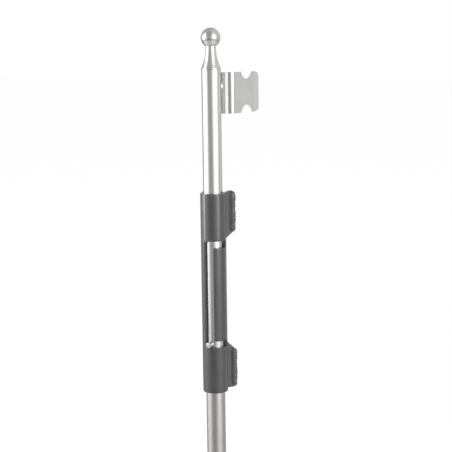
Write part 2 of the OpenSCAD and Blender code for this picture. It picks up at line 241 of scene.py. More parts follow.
guidePaint = glossPaint("guidePaint", paintLook)
platePaint = glossPaint("platePaint", paintLook | {"peel": 0.30, "roughness": 0.34})
weldPaint = glossPaint("weldPaint", paintLook | weldLook)
rodZinc = zincPlate("rodZinc", zincLook | rodDarkerLow)
neckZinc = zincPlate("neckZinc", zincLook | {"roughness": 0.18, "grain": 0.05})
ballZinc = zincPlate("ballZinc", zincLook | ballTones | {"roughness": 0.16, "grain": 0.04})
pinZinc = zincPlate("pinZinc", zincLook | {"roughness": 0.27, "dust": 0.3})
screwZinc = zincPlate("screwZinc", zincLook | {"roughness": 0.25, "grain": 0.05})
studSteel = zincPlate("studSteel", zincLook | steelTones | {"roughness": 0.35})
clipSheet = rolledSheet("clipSheet", sheetLook)
print("materials made")


# building pieces

def addPiece(name, bm, body, nodes, material, smoothAngle):
    mesh = bpy.data.meshes.new(name)
    bmesh.ops.remove_doubles(bm, verts=bm.verts, dist=weldDistance)
    bmesh.ops.recalc_face_normals(bm, faces=bm.faces)
    bm.to_mesh(mesh)
    bm.free()
    mesh.polygons.foreach_set("use_smooth", [True] * len(mesh.polygons))
    mesh.set_sharp_from_angle(angle=math.radians(smoothAngle))
    piece = bpy.data.objects.new(name, mesh)
    bpy.context.scene.collection.objects.link(piece)
    mesh.materials.append(material)
    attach(piece, body)
    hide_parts(*nodes)
    return piece


def weightNormals(piece):
    weighted = piece.modifiers.new("weighted", "WEIGHTED_NORMAL")
    weighted.keep_sharp = True
    weighted.weight = 60


# Turns a profile of (radius, height) in mm round the Z axis
def turned(profile, steps, centre=(0, 0, 0), turn=None):
    bm = bmesh.new()
    ends = [bm.verts.new((r * mm, 0, z * mm)) for r, z in profile]
    for a, b in zip(ends, ends[1:]):
        bm.edges.new((a, b))
    bmesh.ops.spin(bm, geom=bm.verts[:] + bm.edges[:], cent=(0, 0, 0), axis=(0, 0, 1), dvec=(0, 0, 0),
        angle=math.tau, steps=steps, use_merge=True)
    bmesh.ops.remove_doubles(bm, verts=bm.verts, dist=weldDistance)
    if turn:
        bmesh.ops.transform(bm, matrix=turn, verts=bm.verts)
    bmesh.ops.translate(bm, vec=Vector(centre) * mm, verts=bm.verts)
    return bm


def arcPoints(x, y, radius, start, end, steps):
    angles = [math.radians(start + (end - start) * k / steps) for k in range(steps + 1)]
    return [(x + radius * math.cos(a), y + radius * math.sin(a)) for a in angles]


# Angles that round an edge in even steps, without the first
def quarterTurn(steps):
    return [math.radians(90 * k / steps) for k in range(1, steps + 1)]


# Fills a flat region with even triangles: outer loop and holes keep exactly their own points
def fillRegion(loops, inner):
    points, edges = [], []
    for loop in loops:
        first = len(points)
        points += [Vector(p) for p in loop]
        edges += [(first + k, first + (k + 1) % len(loop)) for k in range(len(loop))]
    points += [Vector(p) for p in inner]
    made, _, faces, origins, _, _ = delaunay_2d_cdt(points, edges, [], 0, 1e-5)
    back = [source[0] if source else None for source in origins]
    keep = []
    for face in faces:
        x = sum(made[k].x for k in face) / len(face)
        y = sum(made[k].y for k in face) / len(face)
        if insideRegion(x, y, loops):
            keep.append([back[k] for k in face])
    return keep


def insideLoop(x, y, loop):
    inside = False
    for (ax, ay), (bx, by) in zip(loop, loop[1:] + loop[:1]):
        if (ay > y) != (by > y) and x < (bx - ax) * (y - ay) / (by - ay) + ax:
            inside = not inside
    return inside


def insideRegion(x, y, loops):
    return insideLoop(x, y, loops[0]) and not any(insideLoop(x, y, hole) for hole in loops[1:])


def nearLoop(x, y, loop, gap):
    for (ax, ay), (bx, by) in zip(loop, loop[1:] + loop[:1]):
        dx, dy = bx - ax, by - ay
        t = max(0, min(1, ((x - ax) * dx + (y - ay) * dy) / (dx * dx + dy * dy + 1e-12)))
        if math.hypot(x - ax - t * dx, y - ay - t * dy) < gap:
            return True
    return False


# The way into the material at each point of a loop whose material lies on its right
def intoMaterial(loop, sharpest=0.3):
    ways = []
    count = len(loop)
    for k in range(count):
        before, here, after = loop[k - 1], loop[k], loop[(k + 1) % count]
        sides = []
        for (ax, ay), (bx, by) in ((before, here), (here, after)):
            size = math.hypot(bx - ax, by - ay) or 1
            sides.append(((by - ay) / size, -(bx - ax) / size))
        (ax, ay), (bx, by) = sides
        reach = max(1 + ax * bx + ay * by, sharpest)  # the limit keeps sharp corners from running away
        ways.append(((ax + bx) / reach, (ay + by) / reach))
    return ways


# Faces between rings of equally many vertices, and over the first and last ring where they are capped
def joinRings(bm, rings, capped=False):
    for low, high in zip(rings, rings[1:]):
        count = len(low)
        for k in range(count):
            bm.faces.new([low[k], low[(k + 1) % count], high[(k + 1) % count], high[k]])
    if capped:
        bm.faces.new(rings[0])
        bm.faces.new(rings[-1])


def circlePoints(radius, count):
    angles = [math.tau * k / count for k in range(count)]
    return [(radius * math.cos(a), radius * math.sin(a)) for a in angles]


def circleRing(bm, radius, z, count):
    return [bm.verts.new((x * mm, y * mm, z * mm)) for x, y in circlePoints(radius, count)]


# Adds the geometry of one bmesh to another and frees it
def takeIn(bm, part):
    mesh = bpy.data.meshes.new("part")
    part.to_mesh(mesh)
    part.free()
    bm.from_mesh(mesh)
    bpy.data.meshes.remove(mesh)


# Guide tube with its C-shaped slot, rounded at every edge
guide = {"outer": 13.2, "inner": 10.1, "low": 121.2, "high": 332.2, "edge": 0.45, "collar": 49.2,
    "armHeight": 7, "leftTurn": -22.3, "right": 5.3, "back": 2.0, "leftRound": 3.5, "tongueRound": 1.2,
    "columns": 108, "rowStep": 3.0, "armSteps": 40, "armEndSteps": 6, "leftSteps": 56, "tongueSteps": 48,
    "leftRoundSteps": 8, "tongueRoundSteps": 5, "edgeSteps": 4}


def onCylinder(radius, angle, z):
    return radius * math.sin(angle) * mm, -radius * math.cos(angle) * mm, z * mm


def guideAngle(point, radius):
    base, x, along, _ = point
    start = math.radians(base) + math.asin(x / radius)
    return start + along * (math.pi / 2 + math.asin(guide["back"] / radius) - start)


# The slot's outline as (base angle, x, share of the way along an arm, z)
def slotPoints():
    low, high = guide["low"] + guide["collar"], guide["high"] - guide["collar"]
    arm, left, right = guide["armHeight"], guide["leftTurn"], guide["right"]
    big, small = guide["leftRound"], guide["tongueRound"]
    bigSteps, smallSteps = guide["leftRoundSteps"], guide["tongueRoundSteps"]
    steps, endSteps = guide["armSteps"], guide["armEndSteps"]
    leftSteps, tongueSteps = guide["leftSteps"], guide["tongueSteps"]
    tongueHeight, leftHeight = high - low - 2 * arm - 2 * small, high - low - 2 * big
    tongueLow, tongueHigh, corner = low + arm + small, high - arm - small, right + small
    points = [(left, x, 0, z) for x, z in arcPoints(big, low + big, big, 180, 270, bigSteps)]
    points += [(left, big, k / steps, low) for k in range(1, steps + 1)]
    points += [(left, big, 1, low + arm * k / endSteps) for k in range(1, endSteps)]
    points += [(0, corner, k / steps, low + arm) for k in range(steps, 0, -1)]
    points += [(0, x, 0, z) for x, z in arcPoints(corner, tongueLow, small, 270, 180, smallSteps)]
    points += [(0, right, 0, tongueLow + tongueHeight * k / tongueSteps) for k in range(1, tongueSteps)]
    points += [(0, x, 0, z) for x, z in arcPoints(corner, tongueHigh, small, 180, 90, smallSteps)]
    points += [(0, corner, k / steps, high - arm) for k in range(1, steps + 1)]
    points += [(left, big, 1, high - arm + arm * k / endSteps) for k in range(1, endSteps)]
    points += [(left, big, k / steps, high) for k in range(steps, 0, -1)]
    points += [(left, x, 0, z) for x, z in arcPoints(big, high - big, big, 90, 180, bigSteps)]
    points += [(left, 0, 0, high - big - leftHeight * k / leftSteps) for k in range(1, leftSteps)]
    return points


# A cylinder's wall with one hole in it, in even triangles. Returns the vertices of the hole's edge.
def cylinderSkin(bm, radius, columns, heights, hole, spare=0.35):
    rim = [-math.pi + math.tau * k / columns for k in range(columns + 1)]
    between = heights[1:-1]
    border = [(a * radius, heights[0]) for a in rim] + [(rim[-1] * radius, z) for z in between]
    border += [(a * radius, heights[-1]) for a in rim[::-1]] + [(rim[0] * radius, z) for z in between[::-1]]
    inner = [(a * radius, z) for a in rim[1:-1] for z in between]
    inner = [p for p in inner if not insideLoop(*p, hole) and not nearLoop(*p, hole, spare)]
    verts = [bm.verts.new(onCylinder(radius, s / radius, z)) for s, z in border + hole + inner]
    for face in fillRegion([border, hole], inner):
        bm.faces.new([verts[k] for k in face])
    return verts[len(border):len(border) + len(hole)]


def guideMesh():
    bm = bmesh.new()
    edge, columns = guide["edge"], guide["columns"]
    slot = slotPoints()
    middle = (guide["outer"] + guide["inner"]) / 2
    ways = intoMaterial([(guideAngle(p, middle) * middle, p[3]) for p in slot])

    def slotRing(radius, inset):
        ring = []
        for p, (ws, wz) in zip(slot, ways):
            angle = guideAngle(p, radius) + ws * inset / radius
            ring.append(bm.verts.new(onCylinder(radius, angle, p[3] + wz * inset)))
        return ring

    def endRing(radius, z):
        angles = [-math.pi + math.tau * k / columns for k in range(columns)]
        return [bm.verts.new(onCylinder(radius, a, z)) for a in angles]

    def skin(radius):
        low, high = guide["low"] + edge, guide["high"] - edge
        rows = round((high - low) / guide["rowStep"])
        heights = [low + (high - low) * k / rows for k in range(rows + 1)]
        hole = [(guideAngle(p, radius) * radius + ws * edge, p[3] + wz * edge)
            for p, (ws, wz) in zip(slot, ways)]
        return cylinderSkin(bm, radius, columns, heights, hole)

    rounding = quarterTurn(guide["edgeSteps"])
    outward = [(guide["outer"] - edge * (1 - math.cos(a)), edge * (1 - math.sin(a))) for a in rounding]
    inward = [(guide["inner"] + edge * (1 - math.cos(a)), edge * (1 - math.sin(a))) for a in rounding[::-1]]
    rings = [skin(guide["outer"])] + [slotRing(r, inset) for r, inset in outward + inward]
    joinRings(bm, rings + [skin(guide["inner"])])
    endProfile = [(guide["outer"], edge)] + outward + inward + [(guide["inner"], edge)]
    for z, way in ((guide["low"], 1), (guide["high"], -1)):
        joinRings(bm, [endRing(r, z + way * inset) for r, inset in endProfile])
    return bm


guideTube = addPiece("guideTube", guideMesh(), "base", ["guide_tube"], guidePaint, 50)
weightNormals(guideTube)
print("guide tube", len(guideTube.data.polygons))


# Side plates: a coped plate from the tube's side back to the mounting face
mountFace = 18.0
plate = {"thick": 3.0, "front": 2.0, "firstRow": 0.35, "cope": 2.8, "copeStep": 0.7, "copeRows": 8,
    "copeEnd": 8.378, "round": 0.4, "roundSegments": 3, "roundAngle": 40}
plateEdges = {"upper": ((285.0, 333.2), (289.0, 333.2)), "lower": ((125.0, 175.4), (121.5, 165.1))}


def plateMesh(side, edges):
    bm = bmesh.new()
    (frontLow, frontHigh), (backLow, backHigh) = edges
    outer = guide["outer"]
    steps = [plate["front"] + plate["firstRow"]]
    steps += [plate["cope"] + plate["copeStep"] * k for k in range(plate["copeRows"])]
    steps += [plate["copeEnd"], mountFace]
    sections = []
    for y in steps:
        t = (y - plate["front"]) / (mountFace - plate["front"])
        low = frontLow + (backLow - frontLow) * t
        high = frontHigh + (backHigh - frontHigh) * t
        near = max(outer - plate["thick"], math.sqrt(max(outer ** 2 - y * y, 0)))
        corners = ((near, low), (outer, low), (outer, high), (near, high))
        sections.append([bm.verts.new((side * x * mm, y * mm, z * mm)) for x, z in corners])
    joinRings(bm, sections, capped=True)
    return bm


sides = (("left", -1), ("right", 1))
for level, edges in plateEdges.items():
    for sideName, side in sides:
        name, node = level + sideName.capitalize() + "Plate", f"{level}_{sideName}_plate"
        piece = addPiece(name, plateMesh(side, edges), "base", [node], platePaint, 30)
        bevel = piece.modifiers.new("softEdges", "BEVEL")
        bevel.width = plate["round"] * mm
        bevel.segments = plate["roundSegments"]
        bevel.angle_limit = math.radians(plate["roundAngle"])
        weightNormals(piece)
print("side plates")


# Weld beads: a rippled fillet that is laid upwards, with rounded ends
bead = {"leg": 4.3, "inset": 0.35, "widest": 4.45, "crown": 0.55, "pitch": 3.4, "ripple": 0.42, "bow": 1.5,
    "wander": 0.5, "thinnest": 0.02, "rowStep": 0.25, "around": 16, "seedStep": 1.7}
beadRuns = {"upper": (289.5, 332.7), "lower": (122.0, 164.6)}


# How far a bead has grown at height z, from 0 at its ends to 1
def endTaper(z, low, high, length):
    toEnd = min(z - low, high - z)
    return math.sqrt(max(0, 1 - (1 - min(1, toEnd / length)) ** 2))


def beadMesh(side, low, high, seed):
    bm = bmesh.new()
    rows = round((high - low) / bead["rowStep"])
    rings = []
    for row in range(rows + 1):
        z = low + (high - low) * row / rows
        taper = endTaper(z, low, high, bead["leg"])
        wander = bead["wander"] * (math.sin(z * 0.31 + seed) + 0.6 * math.sin(z * 0.83 + 2 * seed))
        leg = (bead["leg"] - bead["inset"] + wander * 0.5) * max(taper, bead["thinnest"])
        ring = [(0, 0)]
        for k in range(bead["around"] + 1):
            turn = k / bead["around"]
            x, y = leg * (1 - turn), leg * turn
            phase = (z + bead["bow"] * math.cos((turn - 0.5) * math.pi) + 0.25 * wander) / bead["pitch"]
            scallop = (phase % 1) ** 0.6 * math.sin(math.pi * turn) ** 0.5
            lift = (bead["crown"] * math.sin(math.pi * turn) + bead["ripple"] * (scallop - 0.5)) * taper
            outward = lift * 0.707  # the crown stands out at 45 degrees
            ring.append((max(0, min(x + outward, bead["widest"])), max(0, min(y + outward, bead["widest"]))))
        foot = guide["outer"]
        rings.append([bm.verts.new((side * (foot + x) * mm, (mountFace - y) * mm, z * mm)) for x, y in ring])
    joinRings(bm, rings, capped=True)
    return bm


for seed, (level, (low, high)) in enumerate(beadRuns.items()):
    for sideName, side in sides:
        name, node = level + sideName.capitalize() + "Weld", f"{level}_{sideName}_weld"
        laid = beadMesh(side, low, high, bead["seedStep"] * seed + side)
        addPiece(name, laid, "base", [node], weldPaint, 75)
print("weld beads")


# Seam beads behind the tube, between it and the plates
seam = {"x": guide["outer"] - plate["thick"], "y": plate["copeEnd"], "reach": 2.75, "taper": 2.5, "turn": 46,
    "thinnest": 0.05, "around": 8, "rowStep": 0.4}
seamRuns = {"upper": (289.0, 329.2), "lower": (124.2, 165.1)}


def seamMesh(low, high):
    bm = bmesh.new()
    rows = round((high - low) / seam["rowStep"])
    for side in (-1, 1):
        rings = []
        for row in range(rows + 1):
            z = low + (high - low) * row / rows
            taper = max(seam["thinnest"], endTaper(z, low, high, seam["taper"]))
            reach = (seam["reach"] + 0.15 * math.sin(z * 2.9) + 0.1 * math.sin(z * 0.7)) * taper
            ring = [(seam["x"], seam["y"])]
            for x, y in arcPoints(seam["x"], seam["y"], reach, 90, 90 + seam["turn"], seam["around"]):
                size = math.hypot(x, y)
                if size < guide["outer"]:  # on the tube's skin, not in it
                    x, y = x * guide["outer"] / size, y * guide["outer"] / size
                ring.append((min(x, seam["x"]), y))
            rings.append([bm.verts.new((side * x * mm, y * mm, z * mm)) for x, y in ring])
        joinRings(bm, rings, capped=True)
    return bm


for level, (low, high) in seamRuns.items():
    node = f"{level}_seam_welds"
    addPiece(level + "SeamWelds", seamMesh(low, high), "base", [node], weldPaint, 60)
print("seam welds")


# Spring clip: a flat blank with two notches, bent along its length
clip = {"thick": 1.0, "low": 413.2, "high": 455.2, "foot": 8.4, "footRadius": 1.5, "slope": 60,
    "leaf": 17.5, "leafFace": 10.3, "leafLead": 3.5, "cornerRadius": 4.6, "flare": 7, "leg": 34.0,
    "lipRadius": 3.0, "lipTurn": 17, "lip": 7.5, "edge": 0.14, "edgeSteps": 3, "spare": 0.3, "corner": 0.6,
    "notchWidth": 21, "notchTop": 7.4, "notchLow": 8.0, "notchAt": 22.3, "notchSteps": 28,
    "lipRound": 5.5, "lipStretch": 1.14, "lipSteps": 10, "screwGap": 11, "screwHole": 2.25, "holeSteps": 24,
    "slotFrom": -1.6, "slotTo": 8.4, "slotUp": 7, "slotRadius": 2.2, "slotSteps": 12,
    "step": 1.6, "bendStep": 0.25, "rowStep": 2.0}
slope = math.radians(clip["slope"])
bendSpan = 2 * clip["footRadius"] + clip["thick"]
slopeRise = mountFace - clip["thick"] - clip["leafFace"] - bendSpan * (1 - math.cos(slope))
slopeLength = slopeRise / math.sin(slope)
slopeRun = slopeLength * math.cos(slope) + bendSpan * math.sin(slope)
footStart = -clip["leafLead"] - slopeRun - clip["foot"]
# Straight parts as (length, 0, 0) and bends as (None, inner radius, turn)
clipPath = [(clip["foot"], 0, 0), (None, clip["footRadius"], -clip["slope"]), (slopeLength, 0, 0),
    (None, clip["footRadius"], clip["slope"]), (clip["leaf"], 0, 0),
    (None, clip["cornerRadius"], 90 - clip["flare"]), (clip["leg"], 0, 0),
    (None, clip["lipRadius"], -clip["lipTurn"]), (clip["lip"], 0, 0)]


# Where a bend leads from a place and heading when it swings on by an angle
def alongBend(x, y, heading, radius, swing):
    middle = math.copysign(radius + clip["thick"] / 2, swing)
    after = heading + swing
    x += middle * (math.sin(after) - math.sin(heading))
    y += middle * (math.cos(heading) - math.cos(after))
    return x, y, after


def pathMarks():
    marks, s, x, y, heading = [], 0.0, footStart, mountFace - clip["thick"] / 2, 0.0
    for length, radius, turn in clipPath:
        marks.append((s, x, y, heading, radius, turn))
        if length is None:
            s += (radius + clip["thick"] / 2) * math.radians(abs(turn))
            x, y, heading = alongBend(x, y, heading, radius, math.radians(turn))
        else:
            s += length
            x, y = x + length * math.cos(heading), y + length * math.sin(heading)
    return marks, s


clipMarks, clipLength = pathMarks()


# Puts a point of the flat blank on the bent sheet. Depth 0 is the outer side, to the right of the heading.
def clipPlace(s, z, depth):
    passed = [mark for mark in clipMarks if mark[0] <= s + 1e-9]
    start, x, y, heading, radius, turn = passed[-1] if passed else clipMarks[0]
    run = s - start
    if turn:
        swing = math.copysign(run / (radius + clip["thick"] / 2), turn)
        x, y, heading = alongBend(x, y, heading, radius, swing)
    else:
        x, y = x + run * math.cos(heading), y + run * math.sin(heading)
    off = depth - clip["thick"] / 2
    return Vector((x - off * math.sin(heading), y + off * math.cos(heading), z)) * mm


def notchPoints(centre, edgeZ, width, depth, way):
    radius = (width * width / 4 + depth * depth) / (2 * depth)
    half = math.degrees(math.asin(width / 2 / radius))
    angles = [math.radians(-half + 2 * half * k / clip["notchSteps"]) for k in range(clip["notchSteps"] + 1)]
    return [(centre + radius * math.sin(a), edgeZ + way * (radius - depth - radius * math.cos(a)))
        for a in angles]


def spread(a, b, step):
    count = max(1, round(math.hypot(b[0] - a[0], b[1] - a[1]) / step))
    return [(a[0] + (b[0] - a[0]) * k / count, a[1] + (b[1] - a[1]) * k / count) for k in range(1, count)]


# Loops of the flat blank as (way along the sheet, z): its outline, two screw holes and the leaf's slot
def blankLoops():
    low, high, end, corner = clip["low"], clip["high"], clipLength, clip["corner"]
    leafStart, legStart = clipMarks[4][0], clipMarks[6][0]
    notchAt = legStart + clip["notchAt"]
    lower = notchPoints(notchAt, low, clip["notchWidth"], clip["notchLow"], -1)
    upper = notchPoints(notchAt, high, clip["notchWidth"], clip["notchTop"], 1)[::-1]
    across, tall = clip["lipRound"] * clip["lipStretch"], clip["lipRound"]
    quarter = [0] + quarterTurn(clip["lipSteps"])
    lipLow = [(end - across + across * math.sin(a), low + tall - tall * math.cos(a)) for a in quarter]
    lipHigh = [(s, low + high - z) for s, z in reversed(lipLow)]
    stops = [[(corner, low)], lower, lipLow, lipHigh, upper]
    stops += [[(corner, high)], [(0, high - corner)], [(0, low + corner)]]
    outline = []
    for k, group in enumerate(stops):
        outline += group
        if k not in (5, 7):  # the foot's cut corners stay single edges
            outline += spread(group[-1], stops[(k + 1) % len(stops)][0], clip["step"])
    middle, hole, bend = (low + high) / 2, clip["screwHole"], clip["slotRadius"]
    loops = [outline[::-1]]
    for way in (-1, 1):
        holeZ, steps = middle + way * clip["screwGap"], clip["holeSteps"]
        loops.append(arcPoints(clip["foot"] / 2, holeZ, hole, 0, 360 - 360 / steps, steps - 1))
    rodAxis, slotZ, steps = leafStart + clip["leafLead"], middle + clip["slotUp"], clip["slotSteps"]
    slotEnd = arcPoints(rodAxis + clip["slotTo"] - bend, slotZ, bend, -90, 90, steps)
    loops.append(slotEnd + arcPoints(rodAxis + clip["slotFrom"] + bend, slotZ, bend, 90, 270, steps))
    return loops


def movedIn(loop, way, inset):
    return [(p[0] + w[0] * inset, p[1] + w[1] * inset) for p, w in zip(loop, way)]


def clipMesh():
    bm = bmesh.new()
    low, high, edge = clip["low"], clip["high"], clip["edge"]
    loops = blankLoops()
    ways = [intoMaterial(loop) for loop in loops]
    columns = []
    for mark, stop in zip(clipMarks, [m[0] for m in clipMarks[1:]] + [clipLength]):
        count = max(1, round((stop - mark[0]) / (clip["bendStep"] if mark[5] else clip["step"])))
        columns += [mark[0] + (stop - mark[0]) * j / count for j in range(count)]
    rows = round((high - low) / clip["rowStep"])
    inner = [(s, low + (high - low) * k / rows) for s in columns[1:] for k in range(1, rows)]
    insetLoops = [movedIn(loop, way, edge) for loop, way in zip(loops, ways)]
    inner = [p for p in inner if insideRegion(*p, insetLoops)]
    inner = [p for p in inner if not any(nearLoop(*p, loop, clip["spare"]) for loop in insetLoops)]
    faces = fillRegion(insetLoops, inner)
    flat = [p for loop in insetLoops for p in loop] + inner
    skins = []
    for depth in (0, clip["thick"]):
        verts = [bm.verts.new(clipPlace(s, z, depth)) for s, z in flat]
        for face in faces:
            bm.faces.new([verts[k] for k in face])
        skins.append(verts)
    rounding = quarterTurn(clip["edgeSteps"])
    profile = [(edge * (1 - math.cos(a)), edge * (1 - math.sin(a))) for a in rounding]
    profile += [(clip["thick"] - depth, inset) for depth, inset in reversed(profile)]
    first = 0
    for loop, way in zip(loops, ways):
        last = first + len(loop)
        rings = [skins[0][first:last]]
        for depth, inset in profile:
            rings.append([bm.verts.new(clipPlace(s, z, depth)) for s, z in movedIn(loop, way, inset)])
        joinRings(bm, rings + [skins[1][first:last]])
        first = last
    return bm


springClip = addPiece("springClip", clipMesh(), "base", ["retaining_clip"], clipSheet, 50)
weightNormals(springClip)
print("spring clip", len(springClip.data.polygons))


# Pan head screws with a cross recess and a real helical thread
screw = {"headRadius": 3.8, "headHeight": 2.6, "underRadius": 3.5, "crownRadius": 2.6, "crownRise": 0.3,
    "headSide": [(3.72, -0.16), (3.8, -0.5), (3.8, -0.9), (3.62, -1.45), (3.2, -1.95), (2.6, -2.3)],
    "core": 1.6, "thread": 2.05, "start": 1.0, "length": 13.0, "pitch": 1.4, "crest": 0.36, "runIn": 0.8,
    "runOut": 3.0, "bare": 1.0, "tip": 4.2, "recess": 1.0, "recessDepth": 1.4, "recessTaper": 0.72,
    "around": 48, "rowStep": 0.14, "x": footStart + clip["foot"] / 2, "seat": mountFace - clip["thick"],
    "z": (423.2, 445.2), "turns": (20, 70)}


def screwMesh():
    bm = bmesh.new()
    around, bottom, top, core = screw["around"], screw["start"], screw["length"], screw["core"]
    rows = round((top - bottom) / screw["rowStep"])
    rings = []
    for row in range(rows + 1):
        z = bottom + (top - bottom) * row / rows
        growing, fading = (z - bottom) / screw["runIn"], max(0, (top - screw["bare"] - z)) / screw["runOut"]
        fade = min(1, growing) * min(1, fading)
        point = min(1, max(0.03, (top - z) / screw["tip"])) ** 0.8
        ring = []
        for k, (x, y) in enumerate(circlePoints(1, around)):
            phase = (z / screw["pitch"] - k / around) % 1
            crest = max(0, 1 - abs(phase - 0.5) / screw["crest"])
            radius = (core + (screw["thread"] - core) * crest ** 0.8 * fade) * point
            ring.append(bm.verts.new((radius * x * mm, radius * y * mm, z * mm)))
        rings.append(ring)
    joinRings(bm, rings)
    bm.faces.new(rings[-1])
    neck, under = circleRing(bm, core, 0, around), circleRing(bm, screw["underRadius"], 0, around)
    joinRings(bm, [rings[0], neck, under])
    joinRings(bm, [under] + [circleRing(bm, r, z, around) for r, z in screw["headSide"]])

    # the crown, with the recess cut out of it
    arms = []
    half, reach = screw["recess"] / 2, screw["headRadius"] / 2
    for quarter in range(4):
        turn = Matrix.Rotation(math.radians(90 * quarter), 2)
        arms += [tuple(turn @ Vector(p)) for p in ((reach, -half), (reach, half), (half, half))]
    rim = circlePoints(screw["crownRadius"], around)
    inner = circlePoints(screw["crownRadius"] - 0.4, around // 2)
    verts = []
    for x, y in rim + arms + inner:
        dip = screw["crownRise"] * (math.hypot(x, y) / screw["crownRadius"]) ** 2
        verts.append(bm.verts.new((x * mm, y * mm, (dip - screw["headHeight"]) * mm)))
    for face in fillRegion([rim, arms], inner):
        bm.faces.new([verts[k] for k in face])
    mouth = verts[len(rim):len(rim) + len(arms)]
    taper, floorHeight = screw["recessTaper"], screw["recessDepth"] - screw["headHeight"]
    floorRing = [bm.verts.new((x * taper * mm, y * taper * mm, floorHeight * mm)) for x, y in arms]
    joinRings(bm, [mouth, floorRing])
    bm.faces.new(floorRing)
    return bm


screws = bmesh.new()
for z, turn in zip(screw["z"], screw["turns"]):
    one = screwMesh()
    inwards = Matrix.Rotation(math.radians(-90), 4, "X") @ Matrix.Rotation(math.radians(turn), 4, "Z")
    place = Matrix.Translation(Vector((screw["x"], screw["seat"], z)) * mm) @ inwards
    bmesh.ops.transform(one, matrix=place, verts=one.verts)
    takeIn(screws, one)
addPiece("clipScrews", screws, "base", ["clip_screws"], screwZinc, 40)
print("clip screws")


# Rod with rounded edges, the cross hole for the pin and the bore for the stud
rod = {"radius": 10.0, "length": 458.0, "chamfer": 1.5, "edge": 0.3, "edgeSteps": 3, "bore": 3.05,
    "boreDepth": 20.0, "columns": 180, "pinHole": 3.02, "pinHeight": 173.7, "holeRow": -7.5, "pinEnd": 4.02,
    "holeSteps": 48, "lowRows": (12, 21.6, 8), "belowHole": (-8, -6, -5, -4.2), "holeRows": (-3.6, 0.6, 13),
    "aboveHole": (4.2, 5, 6, 8, 12, 20), "highRows": (205, 21, 13)}


# Rows of the wall, close together beside the cross hole. Even rows are (first, step, count).
def rodRows(low, cross, high):
    first, step, count = rod["lowRows"]
    heights = [low] + [first + step * k for k in range(count)] + [cross + way for way in rod["belowHole"]]
    first, step, count = rod["holeRows"]
    heights += [cross + first + step * k for k in range(count)] + [cross + way for way in rod["aboveHole"]]
    first, step, count = rod["highRows"]
    return heights + [first + step * k for k in range(count)] + [high]


def rodMesh():
    r, top, chamfer, edge = rod["radius"], rod["length"], rod["chamfer"], rod["edge"]
    bore, boreFloor, hole = rod["bore"], top - rod["boreDepth"], rod["pinHole"]
    low, high, cross = chamfer + 0.4, top - edge, rod["pinHeight"]
    angles = [-math.tau * k / rod["holeSteps"] for k in range(rod["holeSteps"])]
    mouth = [(r * math.asin(hole * math.cos(a) / r), cross + hole * math.sin(a)) for a in angles]
    bm = bmesh.new()
    rings = [cylinderSkin(bm, r, rod["columns"], rodRows(low, cross, high), mouth)]
    for y in (rod["holeRow"], rod["pinEnd"]):
        rings.append([bm.verts.new(Vector((r * math.sin(s / r), y, z)) * mm) for s, z in mouth])
    joinRings(bm, rings)
    bm.faces.new(rings[-1])
    # small steps soften the chamfer's two edges
    foot = [(0, 0), (r - chamfer - 0.3, 0), (r - chamfer, 0.1), (r - chamfer + 0.2, 0.25)]
    foot += [(r - 0.2, chamfer - 0.15), (r - 0.05, chamfer + 0.05), (r, low)]
    rounding = quarterTurn(rod["edgeSteps"])
    head = [(r, high)] + [(r - edge * (1 - math.cos(a)), top - edge * (1 - math.sin(a))) for a in rounding]
    head += [(bore, top), (bore, boreFloor), (0, boreFloor)]
    for profile in (foot, head):
        takeIn(bm, turned(profile, rod["columns"]))
    return bm


weightNormals(addPiece("boltRod", rodMesh(), "bolt", ["bolt_rod"], rodZinc, 30))

# Stop pin, a little domed at its free end
pin = {"radius": 3.0, "inner": 4.0, "out": 5.2, "edge": 0.5, "chamfer": 0.4, "dome": 0.1, "steps": 64,
    "domeStep": (1.3, 0.03)}
radius, edge, length = pin["radius"], pin["edge"], pin["inner"] + rod["radius"] + pin["out"]
shoulder = length - pin["dome"]
profile = [(0, 0), (radius - pin["chamfer"], 0), (radius, pin["chamfer"]), (radius, shoulder - edge)]
for a in (22, 45, 67, 90):
    inset = edge * (1 - math.cos(math.radians(a)))
    profile.append((radius - inset, shoulder - edge * (1 - math.sin(math.radians(a)))))
domeRadius, domeDrop = pin["domeStep"]
profile += [(domeRadius, length - domeDrop), (0, length)]
forward = Matrix.Rotation(math.radians(90), 4, "X")
pinMesh = turned(profile, pin["steps"], (0, pin["inner"], rod["pinHeight"]), forward)
weightNormals(addPiece("stopPin", pinMesh, "bolt", ["stop_pin"], pinZinc, 40))

# Knob: flared neck, ball with a flat seat, and the stud inside
knob = {"foot": rod["length"], "footRadius": 10.2, "rim": 1.2, "neck": 23.5, "straight": 1.0,
    "topRadius": 5.3, "ball": 10.0, "bore": 3.01, "boreInBall": 6, "flareSteps": 40, "ballSteps": 72,
    "neckColumns": 160, "ballColumns": 144}
foot, footRadius, topRadius, bore = knob["foot"], knob["footRadius"], knob["topRadius"], knob["bore"]
flareHeight = knob["neck"] - knob["straight"] - knob["rim"]
flareIn = footRadius - topRadius
flareRadius = (flareIn ** 2 + flareHeight ** 2) / (2 * flareIn)
flareTop = foot + knob["neck"] - knob["straight"]
flareAngle = math.degrees(math.asin(flareHeight / flareRadius))
seatHeight = foot + knob["neck"]
profile = [(bore, foot), (footRadius - 0.15, foot), (footRadius - 0.04, foot + 0.06)]
profile += [(footRadius, foot + 0.2), (footRadius, foot + knob["rim"] - 0.05)]
flareCentre = topRadius + flareRadius
profile += arcPoints(flareCentre, flareTop, flareRadius, 180 + flareAngle, 180, knob["flareSteps"])
profile += [(topRadius, seatHeight), (bore, seatHeight)]
neckMesh = turned(profile, knob["neckColumns"])
weightNormals(addPiece("knobNeck", neckMesh, "knob", ["knob_neck"], neckZinc, 40))

